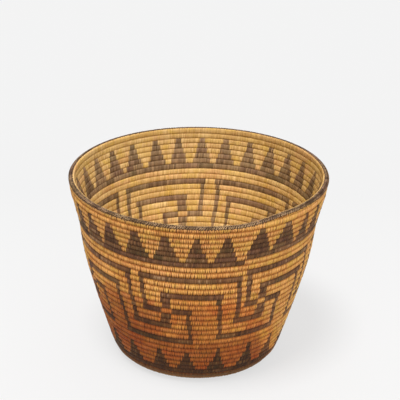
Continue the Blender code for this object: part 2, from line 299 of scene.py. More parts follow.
# Painted shade at a stitch's sides and in the grooves between rounds.
SIDE_SHADE_EDGES = (0.15, 0.46)
SIDE_SHADE_SIDES = (0.0, 1.0, 0.35, 1.0)
SIDE_SHADE_FOLDS = (0.19, 0.33, 1.0, 0.52)
GROOVE_SHADE_BELOW = (0.12, 0.07, 0.0, 0.15)
GROOVE_SHADE_ABOVE = (0.310, 0.435, 0.0, 0.80)
GROOVE_SHADE_SIDES = (0.0, 1.0, 0.30, 1.0)
GROOVE_SHADE_DARK = (0.0, 1.0, 1.0, 1.15)
BARE_CROWN = 0.33  # the last round has no painted groove shade at its top
OUTER_BLEND = 6  # how quickly outside turns to inside, over the top of a round
BRAID_PURPLE_HUES = (0.6, 0.9, 0.0, 0.5)
BRAID_FRONT = (0.02, -0.13, -0.16, 0.12)  # by y, how much more it is worn
BRAID_WORN_SPOTS = (0.38, 0.68, 0.05, 0.60)
BRAID_FLECK_SPOTS = (0.56, 0.70)
BRAID_FLECK_WEAR = (0.40, 0.62, 0.15, 0.80)
BRAID_UNDER_SHADE_SHARES = (0.62, 0.12, 0.0, 0.9)
BRAID_PATCH_SPOTS = (0.52, 0.42, 0.0, 0.85)
BRAID_EDGE_SHADE_WIDTHS = (0.16, 0.44, 0.0, 0.95)

# Noise: scale, detail and roughness.
GOLD_NOISE = (95.0, 2.0, 0.6)
BROWN_NOISE = (17.0, 2.0, 0.5)
RUDDY_NOISE = (41.0, 2.0, 0.5)
PATINA_NOISE = (34.0, 4.0, 0.65)
FIBRE_NOISE = (1.0, 3.0, 0.6)
FIBRE_SCALE = (9.0, 5.0, 61.0)  # across a stitch, along it, and from splint to splint
WEAR_NOISE = (34.0, 4.0, 0.7)
FLECK_NOISE = (750.0, 3.0, 0.65)
PATCH_NOISE = (62.0, 1.0, 0.5)

# Sheen and bump.
SPLINT_ROUGHNESS = (0.3, 0.7, 0.45, 0.68)
SPLINT_SPECULAR = 0.22
BRAID_ROUGHNESS = (0.3, 0.7, 0.42, 0.65)
BRAID_SPECULAR = 0.12
BUMP_STRENGTH = 0.35
BUMP_DISTANCE = 0.12 * MM

# The studio.
FLOOR_HALF = 6.0
FLOOR_DROP = 0.08 * MM  # so that it doesn't lie in the same plane as the base
FLOOR_BOUNCE = 0.60  # how light it is for the object
FLOOR_SHOWN = 0.29  # and for the camera, where shadows fall on it
FLOOR_GLOW = (0.655, 0.612)  # its even part for the camera, near and far: shadows stay light
FLOOR_FALL = (0.0, 0.40)  # by y, where near and far are
BACKGROUND = 0.896
SKY = 0.50
LAMPS = (  # name, then from which azimuth and height, strength, and width of its light in degrees
    ("key", -32.0, 74.0, 1.60, 18.0),
    ("front", 8.0, 42.0, 2.60, 60.0),
    ("back", 172.0, 38.0, 1.00, 60.0),
)
CAMERA_AT = Vector((0.0, -0.9875, 0.5992))
CAMERA_PITCH = 0.4151
CAMERA_ROLL = 0.0174
CAMERA_LENS = 94.34
CAMERA_SENSOR = 36.0
CAMERA_SHIFT = 0.0049
CAMERA_CLIP = (0.01, 50.0)


def main():
    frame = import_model()
    print(len(frame["nodes"]), "nodes")
    basket()
    floor = add_floor()
    add_world()
    add_lamps(floor)
    add_camera()
    bpy.context.scene.view_settings.view_transform = "Standard"


def basket():
    coil = Coil(Meridian())
    random = np.random.default_rng(SEED)
    slots = ("willow_base", "willow_heel", "willow_middle", "willow_upper", "devils_claw_round")
    materials = {slot: splint_material(slot) for slot in slots}
    for index in range(coil.last + 1):
        climbed = index - BASE_TURNS
        slot = round_slot(climbed)
        node = f"wall_round_{climbed:02d}" if climbed > 0 else f"base_round_{index + 1:02d}"
        parts, uv = make_round(coil, index, random)
        add_piece("stitched_" + node, parts, materials[slot], node, uv)
    braid = make_braid(coil, random)
    add_piece("braided_edge", braid, braid_material(), "rim_braid")
    knot = make_knot(random)
    add_piece("plaited_start", knot, splint_material("start_knot"), "start_knot")


def round_slot(climbed):
    if climbed in SOLID_ROUNDS:
        return "devils_claw_round"
    if climbed < 1:
        return "willow_base"
    if climbed <= HEEL_TOP:
        return "willow_heel"
    return "willow_middle" if climbed <= MIDDLE_TOP else "willow_upper"


def curve_through(table, at):
    """Smooth values at places in a table of pairs, with no overshoot between its points."""
    x, y = np.array(table, float).T
    slopes = np.diff(y) / np.diff(x)
    before = slopes[np.maximum(np.arange(len(x)) - 1, 0)]
    after = slopes[np.minimum(np.arange(len(x)), len(slopes) - 1)]
    tangents = 2 * before * after / (before + after)
    at = np.asarray(at, float)
    i = np.clip(np.searchsorted(x, at, side="right") - 1, 0, len(slopes) - 1)
    width = x[i + 1] - x[i]
    t = (at - x[i]) / width
    ease = t * t * (3 - 2 * t)
    lean_in, lean_out = t * (1 - t) ** 2, -t * t * (1 - t)
    leaning = width * (tangents[i] * lean_in + tangents[i + 1] * lean_out)
    return y[i] + (y[i + 1] - y[i]) * ease + leaning


class Meridian:
    """Path of the coil's centre, as (radius, height), from the base's middle to the wall's top."""

    def __init__(self):
        corner = np.array([BASE_RADIUS - WALL_THICKNESS / 2, WALL_THICKNESS / 2])
        share = np.arange(SAMPLES + 1) / SAMPLES
        radius = BASE_RADIUS + (RIM_RADIUS - BASE_RADIUS) * curve_through(WALL_SHARES, share)
        top = HEIGHT - BRAID_THICKNESS - SEAT_GAP
        wall = np.stack([radius - WALL_THICKNESS / 2, top * share], 1)
        wall = wall[np.linalg.norm(wall - corner, axis=1) > HEEL_REACH]
        start = corner - (HEEL_REACH, 0.0)
        t = (np.arange(SAMPLES) / SAMPLES)[:, None]
        heel = start * (1 - t) ** 2 + corner * 2 * t * (1 - t) + wall[0] * t * t
        self.points = np.concatenate([[(0.0, corner[1])], heel, wall])
        steps = np.linalg.norm(np.diff(self.points, axis=0), axis=1)
        self.lengths = np.concatenate([[0.0], np.cumsum(steps)])
        self.length = self.lengths[-1]
        self.heel_length = self.lengths[1 + SAMPLES // 2]

    def at(self, length):
        """Place on the path. Past the top it goes straight on."""
        radius = np.interp(length, self.lengths, self.points[:, 0])
        height = np.interp(length, self.lengths, self.points[:, 1])
        past = np.maximum(np.asarray(length) - self.length, 0.0)
        lean = math.atan2(*(self.points[-1] - self.points[-TOP_SAMPLES]))
        return np.stack([radius + past * math.sin(lean), height + past * math.cos(lean)], -1)

    def lean(self, length):
        reach = WALL_THICKNESS * LEAN_REACH_SHARE
        length = np.clip(length, reach, self.length - reach)
        run = self.at(length + reach) - self.at(length - reach)
        return np.arctan2(run[..., 0], run[..., 1])


class Coil:
    """The spiral: which stretch of the meridian each round covers, at each share of its turn."""

    def __init__(self, meridian):
        self.meridian = meridian
        self.start = KNOT_RADIUS + SEAT_GAP / 2
        self.base_spacing = (meridian.heel_length - self.start) / BASE_TURNS
        wall_length = meridian.length - meridian.heel_length
        self.wall_spacing = wall_length / (WALL_TURNS + RIM_CLIMB_SHARE)
        self.rise = self.wall_spacing * RIM_CLIMB_SHARE
        self.last = BASE_TURNS + WALL_TURNS

    def edge(self, turns):
        """How far along the meridian the coil's lower edge is after so many turns."""
        climbed = np.asarray(turns, float) - BASE_TURNS
        share = curve_through(ROUND_SHARES, np.clip(climbed / WALL_TURNS, 0.0, 1.0))
        on_base = self.start + self.base_spacing * np.maximum(turns, 0.0)
        on_wall = self.meridian.heel_length + self.wall_spacing * WALL_TURNS * share
        return np.where(climbed <= 0, on_base, on_wall)

    def rim_rise(self, turn):
        """How far the rim has climbed. It comes down where the coil's end thins."""
        climbed = np.minimum(turn / RIM_CLIMB_SHARE, 1.0)
        t = np.clip((turn - COIL_THINS) / (COIL_END - COIL_THINS), 0.0, 1.0)
        drop = 1.0 - (COIL_END - 1.0) / RIM_CLIMB_SHARE
        return self.rise * (climbed - drop * t * t * (3 - 2 * t))

    def turns(self, index):
        """How long a round is. The last one runs on over its own start."""
        return COIL_END if index == self.last else 1.0

    def edges(self, index, turn):
        turn = np.clip(turn, 0.0, self.turns(index))
        lower = self.edge(index - 1 + turn)
        upper = self.edge(index + turn)
        if index == self.last:
            lower = lower + self.rise * np.maximum(turn - 1.0, 0.0) / RIM_CLIMB_SHARE
            upper = upper + self.rim_rise(turn)
        return lower, upper

    def on_section(self, index, turn, out, up, lift=0.0):
        """Points of a round. Out and up are shares of its half section, and lift is a length."""
        lower, upper = self.edges(index, turn)
        half = (upper - lower) / 2
        out = out * np.interp(turn, [COIL_THINS, COIL_END], [1.0, COIL_END_WIDTH])
        reach = np.hypot(out * WALL_THICKNESS / 2, up * half)
        grown = 1.0 + lift / np.maximum(reach, MM)
        length = (lower + upper) / 2 + up * half * grown
        flat = self.meridian.at(length)
        lean = self.meridian.lean(length)
        side = out * grown * WALL_THICKNESS / 2
        radius = flat[..., 0] + side * np.cos(lean)
        height = np.maximum(flat[..., 1] - side * np.sin(lean), 0.0)
        return around(radius, height, turn)


def azimuth_at(turn):
    return SEAM_DEGREES - FULL_TURN * turn


def around(radius, height, turn):
    radius, height, angle = np.broadcast_arrays(radius, height, np.radians(azimuth_at(turn)))
    return np.stack([radius * np.cos(angle), radius * np.sin(angle), height], -1)


def section_point(degrees):
    """Place on a rounded section, at an angle from its outer side."""
    angle = np.radians(degrees)
    x, y = np.cos(angle), np.sin(angle)
    power = 2.0 / np.where(x > 0, OUTER_POWER, INNER_POWER)
    return np.sign(x) * np.abs(x) ** power, np.sign(y) * np.abs(y) ** power


def from_nearest(azimuth, centre):
    return (azimuth - centre + FULL_TURN / 2) % FULL_TURN - FULL_TURN / 2


def in_points(row, azimuth):
    """True where a stitch lies in a point over the upper band, or in one down to the lower band."""
    dark = np.zeros(azimuth.shape, bool)
    for centre, share in UPPER_POINTS:
        dark |= np.abs(from_nearest(azimuth, centre)) < UPPER_WIDTHS.get(row, 0.0) * share / 2
    for centre in LOWER_POINTS:
        if row > min(LOWER_WIDTHS) or centre in TALL_LOWER_POINTS:
            dark |= np.abs(from_nearest(azimuth, centre)) < LOWER_WIDTHS.get(row, 0.0) / 2
    return dark


def in_fret(row, azimuth):
    """True where a stitch lies on the running fret, whose seven units differ in width."""
    dark = np.zeros(azimuth.shape, bool)
    first, second, third, fourth, fifth = FRET_BARS
    for i, (start, upper, lower, inner, outer, end) in enumerate(FRET_UNITS):
        start_before, _, _, _, outer_before, end_before = FRET_UNITS[i - 1]
        width_before = (start - start_before) % FULL_TURN
        place = from_nearest(azimuth, start)
        bars = {
            first: [(0.0, end + UPRIGHT)],
            second: [(upper[0], outer + UPRIGHT)],
            third: [(0.0, upper[0]), (upper[1], inner + UPRIGHT)],
            fourth: [(end_before - width_before, lower[1])],
            fifth: [(outer_before - width_before, inner + UPRIGHT)],
        }
        uprights = (
            (first, third, 0.0), (second, fifth, outer),
            (third, fifth, inner), (first, fourth, end),
        )
        blocks = ((second, third - 1, upper), (third + 1, fourth, lower))
        for low, high in bars.get(row, []):
            dark |= (place > low) & (place < high)
        for top, bottom, low in uprights:
            if top <= row <= bottom:
                shift = FRET_LEAN * (row - (top + bottom) / 2)
                dark |= (place > low + shift) & (place < low + shift + UPRIGHT)
        for top, bottom, (low, high) in blocks:
            if top <= row <= bottom:
                dark |= (place > low) & (place < high)
    return dark


def is_dark(row, azimuth):
    """Which stitches of a row are devil's claw. The pattern steps up one row at the jog."""
    azimuth = azimuth % FULL_TURN
    jog = JOG_DEGREES
    if row in FRET_JOG_ROWS:
        jog = FRET_JOG_DEGREES
    if row in FOOT_JOG_ROWS:
        jog = FOOT_JOG_DEGREES
    stepped = (azimuth >= jog) & (azimuth <= SEAM_DEGREES)
    if row > max(FOOT_JOG_ROWS):
        stepped[:] = False
    shown = [in_points(r, azimuth) | in_fret(r, azimuth) | (r in BAND_ROWS) for r in (row, row + 1)]
    return np.where(stepped, shown[1], shown[0])


def darkness(row, azimuth):
    """How much of a stitch's colour is devil's claw. The base, past the wall's rows, has none."""
    if row > WALL_TURNS:
        return np.zeros(azimuth.shape)
    if row == WORN_ROW:
        return np.full(azimuth.shape, WORN_DARK)
    return is_dark(row, azimuth) * 1.0


def splint_tones(count, random):
    """A tone and a hue for each stitch. Stitches sewn from one splint are alike."""
    tone, hue = np.zeros(count), np.zeros(count)
    at = 0
    while at < count:
        run = int(random.integers(*SPLINT_RUN))
        tone[at : at + run] = random.normal(SPLINT_TONE, SPLINT_TONE_VARIES)
        hue[at : at + run] = random.random()
        at += run
    tone += random.normal(0.0, STITCH_TONE_VARIES, count)
    hue += random.normal(0.0, STITCH_HUE_VARIES, count)
    return np.clip(tone, 0, 1), np.clip(hue, 0, 1)


def uneven(turn, index):
    """A slow rise and fall along a round, different in each."""
    angle = 2 * math.pi * turn
    phase = index * WAVER_PHASE
    return sum(size * np.sin(waves * angle + share * phase) for size, waves, share in WAVER_WAVES)


def stitch_points(coil, index, random):
    """Points of a round's stitches, as (stitch, step along, column across), and their turns."""
    lower, upper = coil.edges(index, np.array([0.5]))
    radius = coil.meridian.at((lower + upper) / 2)[0, 0]
    length = 2 * math.pi * radius
    to_a_turn = max(int(round(length / STITCH_PITCH)), FEWEST_STITCHES)
    pitch = 1.0 / to_a_turn
    count = int(to_a_turn * coil.turns(index))
    turn = (np.arange(count) + 0.5 + random.normal(0, PLACE_VARIES, count)) * pitch
    width = (1.0 + random.normal(0, WIDTH_VARIES, count))[:, None, None]
    slant = STITCH_SLANT * (1.0 + random.normal(0, SLANT_VARIES, count))[:, None, None]
    crown = STITCH_CROWN * (1.0 + random.normal(0, CROWN_VARIES, count))[:, None, None]
    wrap = [section_point(degrees) for degrees in STITCH_WRAP]
    inside = [(-out, up) for out, up in reversed(STITCH_TAILS)]
    path = np.array([*STITCH_TAILS, *wrap, *inside])
    out, up = path[:, 0][None, :, None], path[:, 1][None, :, None]
    across, raised = (np.array(values)[None, None, :] for values in zip(*STITCH_ACROSS))
    progress = np.linspace(-1.0, 1.0, len(path))[None, :, None]
    fold = (1.0 - np.abs(progress)) / 2
    taper = np.interp(fold, *STITCH_TAPER)
    helix = -progress * slant * SLANT_REACH / length
    place = turn[:, None, None] + across * width * taper * pitch + helix
    inner = np.where(progress > INNER_START, INNER_RELIEF, 1.0)
    relief = np.interp(fold, *STITCH_RELIEF) * inner
    lift = np.where(raised > 0, crown, -STITCH_EDGE) * relief
    waver = WAVER * uneven(turn, index)[:, None, None]
    return coil.on_section(index, place, out, up, lift + waver), turn


def quads(shape, closed=None, flip=False):
    """Faces of a grid of points, over its last two axes. It may close on itself along one."""
    ids = np.arange(math.prod(shape)).reshape(shape)
    if closed is not None:
        ids = np.concatenate([ids, ids.take([0], closed)], closed)
    a, b = ids[..., :-1, :-1], ids[..., :-1, 1:]
    c, d = ids[..., 1:, 1:], ids[..., 1:, :-1]
    return np.stack((a, d, c, b) if flip else (a, b, c, d), -1).reshape(-1, 4)


def layer(shape, *values):
    """A colour layer for a grid of points: three values for each, then 1."""
    return np.stack([np.broadcast_to(value, shape) for value in (*values, 1.0)], -1).reshape(-1, 4)


def grass_points(coil, index):
    """Points of the bundle of grass inside a round, as (ring, side), and the rings' turns."""
    turn = np.linspace(0.0, coil.turns(index), BUNDLE_STEPS + 1)
    out, up = section_point(np.arange(BUNDLE_SIDES) * FULL_TURN / BUNDLE_SIDES)
    return coil.on_section(index, turn[:, None], BUNDLE_SHARE * out[None, :], up[None, :]), turn


def make_round(coil, index, random):
    """The parts of a round, its stitches and its grass, and where their points are when baked."""
    row = WALL_TURNS + 1 - (index - BASE_TURNS)
    points, turn = stitch_points(coil, index, random)
    shape = points.shape[:-1]
    count, steps, _ = shape
    dark = darkness(row, azimuth_at(turn))
    willow, claw = splint_tones(count, random), splint_tones(count, random)
    tone, hue = np.where(dark > 0, claw, willow)
    stitch = layer(shape, *(value[:, None, None] for value in (dark, tone, hue)))
    along = np.linspace(0.0, 1.0, steps)[None, :, None]
    across = np.array([a + 0.5 for a, _ in STITCH_ACROSS])
    outer = np.clip((0.5 - along) * OUTER_BLEND + 0.5, 0, 1)
    shaded = along
    if index == coil.last:
        inside = np.maximum(along, 1 - BARE_CROWN)
        shaded = np.where(along < 0.5, np.minimum(along, BARE_CROWN), inside)
    stitches = (points, quads(shape), stitch, layer(shape, shaded, across, outer))
    points, turn = grass_points(coil, index)
    # The grass is coloured dark as painted shade in the gaps between stitches.
    ring_shade = np.where(darkness(row, azimuth_at(turn)) > 0, BUNDLE_SHADE_DARK, BUNDLE_SHADE_LIGHT)[:, None]
    outwards = np.cos(np.arange(BUNDLE_SIDES) * 2 * math.pi / BUNDLE_SIDES) > BUNDLE_OUTSIDE
    shape = points.shape[:-1]
    stitch = layer(shape, np.where(outwards, BUNDLE_SHADE_DARK, ring_shade), BUNDLE_TONE, BUNDLE_HUE)
    grass = (points, quads(shape, closed=1), stitch, layer(shape, 0.0, 0.5, outwards))
    return [stitches, grass], np.concatenate([stitch_uv(count, along, across), grass_uv(len(turn))])


def stitch_uv(count, along, across):
    strips = BAKE_STRIPS - 1
    start, size = BAKE_ALONG
    number = np.arange(count)[:, None, None]
    strip = number * strips // count
    first = np.ceil(strip * count / strips)
    held = np.ceil(count / strips)
    u = (number - first + 0.5 + (across - 0.5) * BAKE_ACROSS) / held
    v = (strip + start + size * along) / BAKE_STRIPS
    return np.stack(np.broadcast_arrays(u, v), -1).reshape(-1, 2)


def grass_uv(rings):
    start, size = BAKE_GRASS
    u = np.linspace(0, 1, rings)[:, None]
    v = (BAKE_STRIPS - 1 + start + size * (np.arange(BUNDLE_SIDES) / BUNDLE_SIDES)) / BAKE_STRIPS
    return np.stack(np.broadcast_arrays(u, v), -1).reshape(-1, 2)


def add_piece(name, parts, material, node, uv=None):
    """Makes a piece of its parts, each (points, faces, stitch, place). It replaces a CAD node."""
    points, faces, stitch, place = zip(*parts)
    points = [p.reshape(-1, 3) for p in points]
    starts = np.cumsum([0, *(len(p) for p in points)])
    points = np.concatenate(points)
    faces = np.concatenate([f + start for f, start in zip(faces, starts)])
    mesh = bpy.data.meshes.new(name)
    mesh.vertices.add(len(points))
    mesh.vertices.foreach_set("co", points.astype(np.float32).ravel())
    mesh.loops.add(faces.size)
    mesh.loops.foreach_set("vertex_index", faces.astype(np.int32).ravel())
    mesh.polygons.add(len(faces))
    loop_starts = np.arange(len(faces), dtype=np.int32) * faces.shape[1]
    mesh.polygons.foreach_set("loop_start", loop_starts)
    mesh.update(calc_edges=True)
    mesh.polygons.foreach_set("use_smooth", np.ones(len(faces), bool))
    for key, values in (("stitch", stitch), ("place", place)):
        colours = mesh.attributes.new(key, "FLOAT_COLOR", "POINT")
        colours.data.foreach_set("color", np.concatenate(values).astype(np.float32).ravel())
    if uv is not None:
        places = mesh.uv_layers.new(name="OFBake")
        places.data.foreach_set("uv", uv[faces.ravel()].astype(np.float32).ravel())
    mesh.validate()
    piece = bpy.data.objects.new(name, mesh)
    bpy.context.scene.collection.objects.link(piece)
    mesh.materials.append(material)
    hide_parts(node)
    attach(piece, "root")


def make_braid(coil, random):
    """The parts of the braid: its strands, what lies under them, and its teeth on both sides."""
    steps = BRAID_WAVES * BRAID_STEPS
    turn = np.arange(steps) / steps
    parts = [braid_strand(coil, turn, strand, random) for strand in range(BRAID_STRANDS)]
    parts.append(braid_lining(coil, turn))
    return parts + [braid_teeth(coil, side, random) for side in (1.0, -1.0)]


def braid_strand(coil, turn, strand, random):
    phase = 2 * math.pi * (turn * BRAID_WAVES + strand / BRAID_STRANDS)
    phase = phase + BRAID_DRIFT * np.sin(turn * 2 * math.pi * BRAID_DRIFTS + strand)
    middle = BRAID_SWING * np.sin(phase)
    over = BRAID_WEAVE * np.sin(2 * phase)
    columns = []
    for across, raised in STRAND_PROFILE:
        share = middle + across * STRAND_WIDTH * (1 + STRAND_SWELL * np.cos(phase) ** 2)
        lift = over + raised * STRAND_RAISED * MM
        columns.append(braid_point(coil, turn, BRAID_MIDDLE + share * BRAID_REACH, lift))
    points = np.stack(columns, 1)
    shape = points.shape[:-1]
    stroke = np.floor(phase / math.pi + 0.5).astype(int)
    tone = random.random(stroke.max() + 2)[stroke]
    hue = 0.5 + 0.5 * np.sin(turn * 2 * math.pi * BRAID_HUES + strand)
    on_top = 0.5 + 0.5 * np.sin(2 * phase)
    wide = [(across + 1) / 2 for across, _ in STRAND_PROFILE]
    stitch = layer(shape, 1.0, tone[:, None], hue[:, None])
    return points, quads(shape, closed=0), stitch, layer(shape, on_top[:, None], wide, 0.0)


def braid_lining(coil, turn):
    ways = BRAID_MIDDLE + LINING_WAYS * BRAID_REACH
    points = np.stack([braid_point(coil, turn, way, LINING_LIFT) for way in ways], 1)
    shape = points.shape[:-1]
    # It is coloured as the teeth and takes the braid's painted edge shade in full, so it shows dark
    # between the strands.
    return points, quads(shape, closed=0), layer(shape, 1.0, 0.0, 0.5), layer(shape, 0.5, 0.0, 1.0)


def braid_teeth(coil, side, random):
    """The braid's splint where it dips into the last round, on one side of it."""
    length_round = 2 * math.pi * RIM_RADIUS
    count = int(length_round / TEETH_PITCH)
    turn = (np.arange(count) + 0.5 + random.normal(0, TEETH_PLACE_VARIES, count)) / count
    start = BRAID_MIDDLE + side * (BRAID_REACH - TEETH_OVERLAP)
    length = side * (TEETH_LENGTH + random.normal(0, TEETH_LENGTH_VARIES, count) * MM)
    rows = []
    for share in TOOTH_SHARES:
        for across, lift in TOOTH_PROFILE:
            wide = across * TEETH_WIDTH * (1 - TEETH_TAPER * share) + TEETH_LEAN * share * side
            dip = lift - (TEETH_DIP if share == 1.0 else 0.0)
            way = start + share * length
            rows.append(braid_point(coil, turn + wide / length_round, way, dip * MM))
    points = np.stack(rows, 1)
    tone = random.random(count)[:, None]
    faces = quads((count, len(TOOTH_SHARES), len(TOOTH_PROFILE)), flip=side < 0)
    shape = points.shape[:-1]
    across = np.tile(TOOTH_ACROSS, len(TOOTH_SHARES))
    return points, faces, layer(shape, 1.0, tone, 0.5), layer(shape, 0.5, across, 1.0)


def braid_point(coil, turn, way, lift):
    """A place on the arch over the last round. Way is how far along it, more than 0 outside."""
    ways, outs, downs = np.array(BRAID_ARCH).T * MM
    turn = turn % 1.0
    off_right = (turn - BRAID_RIGHT_AT + 0.5) % 1.0 - 0.5
    near_right = np.exp(-((off_right / BRAID_RIGHT_REACH) ** 2))
    way = way + BRAID_RIGHT * near_right * (1.0 + (way - BRAID_MIDDLE) / BRAID_REACH)
    side = np.sign(way) * np.interp(np.abs(way), ways, outs)
    up = -np.interp(np.abs(way), ways, downs)
    reach = np.hypot(side, up - BRAID_CENTRE)
    grown = 1 + lift / reach
    side, up = side * grown, BRAID_CENTRE + (up - BRAID_CENTRE) * grown + BRAID_CREST
    rise = coil.rim_rise(np.where(turn < COIL_END - 1.0, turn + 1.0, turn))
    flat = coil.meridian.at(coil.meridian.length - coil.rise + rise)
    lean = coil.meridian.lean(coil.meridian.length)
    radius = flat[:, 0] + side * np.cos(lean) + up * np.sin(lean)
    height = flat[:, 1] - side * np.sin(lean) + up * np.cos(lean) + SEAT_GAP / 2
    return around(radius, height, turn)


def make_knot(random):
    """The parts of the knot in the middle of the base: splints plaited both ways, on both faces."""
    return [
        knot_splint(face_side, direction, number, random)
        for face_side in (1.0, -1.0)
        for direction in (0, 1)
        for number in range(KNOT_STRANDS)
    ]


def knot_splint(face_side, direction, number, random):
    half = KNOT_RADIUS * KNOT_FILL
    pitch = 2 * half / KNOT_STRANDS
    offset = (number + 0.5) * pitch - half
    reach = math.sqrt(max(half * half - offset * offset, 0.0))
    along = np.linspace(-reach, reach, KNOT_STEPS)
    weave = np.cos((along / pitch + number + direction) * math.pi) * KNOT_WEAVE * MM
    drop = KNOT_DROP * (np.abs(along) / half) ** KNOT_DROP_POWER
    level = WALL_THICKNESS / 2 + face_side * (WALL_THICKNESS / 2 - KNOT_INSET - drop)
    columns = []
    for across, raised in KNOT_PROFILE:
        side = np.full(KNOT_STEPS, offset + across * pitch * KNOT_STRAND_WIDTH)
        height = np.maximum(level + face_side * (weave + raised * KNOT_RAISED * MM), 0.0)
        x, y = (along, side) if direction == 0 else (side, along)
        columns.append(np.stack([x, y, height], 1))
    points = np.stack(columns, 1)
    shape = points.shape[:-1]
    faces = quads(shape)
    if (face_side > 0) == (direction == 0):
        faces = faces[:, ::-1]
    tone, hue = random.random(), random.random()
    wide = [(across + 1) / 2 for across, _ in KNOT_PROFILE]
    place = layer(shape, np.linspace(*KNOT_ALONG, KNOT_STEPS)[:, None], wide, 0.5)
    return points, faces, layer(shape, 0.0, tone, hue), place


class Nodes:
    """Short calls for the nodes of a material or of the world."""

    def __init__(self, owner):
        owner.use_nodes = True
        self.tree = owner.node_tree

    def add(self, kind, **settings):
        node = self.tree.nodes.new(kind)
        for key, value in settings.items():
            setattr(node, key, value)
        return node

    def link(self, source, target):
        self.tree.links.new(source, target)

    def feed(self, sockets, *values):
        """Links each value to its socket if it is another node's, and sets it there otherwise."""
        for socket, value in zip(sockets, values):
            if hasattr(value, "links"):
                self.link(value, socket)
            else:
                socket.default_value = value

    def math(self, operation, *values):
        node = self.add("ShaderNodeMath", operation=operation)
        self.feed(node.inputs, *values)
        return node.outputs[0]

    def plus(self, first, second):
        return self.math("ADD", first, second)

    def minus(self, first, second):
        return self.math("SUBTRACT", first, second)

    def times(self, first, second):
        return self.math("MULTIPLY", first, second)

    def off_middle(self, share):
        return self.math("ABSOLUTE", self.minus(share, 0.5))

    def mix(self, share, first, second, blend="MIX"):
        node = self.add("ShaderNodeMix", data_type="RGBA", blend_type=blend)
        colours = (c if hasattr(c, "links") else (*c, 1.0) for c in (first, second))
        self.feed((node.inputs[0], node.inputs[6], node.inputs[7]), share, *colours)
        return node.outputs[2]

    def leave(self, share, colour, left):
        """Leaves only so much of a colour's red, green and blue, where the share is 1."""
        return self.mix(share, colour, left, "MULTIPLY")

    def range(self, value, low, high, to_low=0.0, to_high=1.0, smooth=False):
        kind = "SMOOTHSTEP" if smooth else "LINEAR"
        node = self.add("ShaderNodeMapRange", interpolation_type=kind)
        self.feed(node.inputs, value, low, high, to_low, to_high)
        return node.outputs[0]

    def noise(self, vector, scale, detail, roughness):
        node = self.add("ShaderNodeTexNoise")
        sockets = [node.inputs[name] for name in ("Vector", "Scale", "Detail", "Roughness")]
        self.feed(sockets, vector, scale, detail, roughness)
        return node.outputs["Fac"]

    def attribute(self, name):
        source = self.add("ShaderNodeAttribute", attribute_name=name)
        node = self.add("ShaderNodeSeparateColor")
        self.link(source.outputs["Color"], node.inputs[0])
        return node.outputs[:3]

    def split(self, vector):
        node = self.add("ShaderNodeSeparateXYZ")
        self.link(vector, node.inputs[0])
        return node.outputs[:3]

    def join(self, x, y, z):
        node = self.add("ShaderNodeCombineXYZ")
        self.feed(node.inputs, x, y, z)
        return node.outputs[0]

    def length(self, vector):
        node = self.add("ShaderNodeVectorMath", operation="LENGTH")
        self.link(vector, node.inputs[0])
        return node.outputs["Value"]

    def finish(self, colour, grain, roughness, specular):
        """Ends a material: its colour, and a roughness and a bump that follow its grain."""
        shader = self.tree.nodes["Principled BSDF"]
        self.link(colour, shader.inputs["Base Color"])
        self.link(self.range(grain, *roughness), shader.inputs["Roughness"])
        shader.inputs["Specular IOR Level"].default_value = specular
        bump = self.add("ShaderNodeBump")
        bump.inputs["Strength"].default_value = BUMP_STRENGTH
        bump.inputs["Distance"].default_value = BUMP_DISTANCE
        self.link(grain, bump.inputs["Height"])
        self.link(bump.outputs[0], shader.inputs["Normal"])

    def by_camera(self, output, for_camera, for_light):
        """Joins two shaders: what the camera and reflections see, and what lights the object."""
        path = self.add("ShaderNodeLightPath")
        seen = self.math("MAXIMUM", path.outputs["Is Camera Ray"], path.outputs["Is Glossy Ray"])
        node = self.add("ShaderNodeMixShader")
        self.feed(node.inputs, seen, for_light, for_camera)
        self.link(node.outputs[0], self.tree.nodes[output].inputs["Surface"])


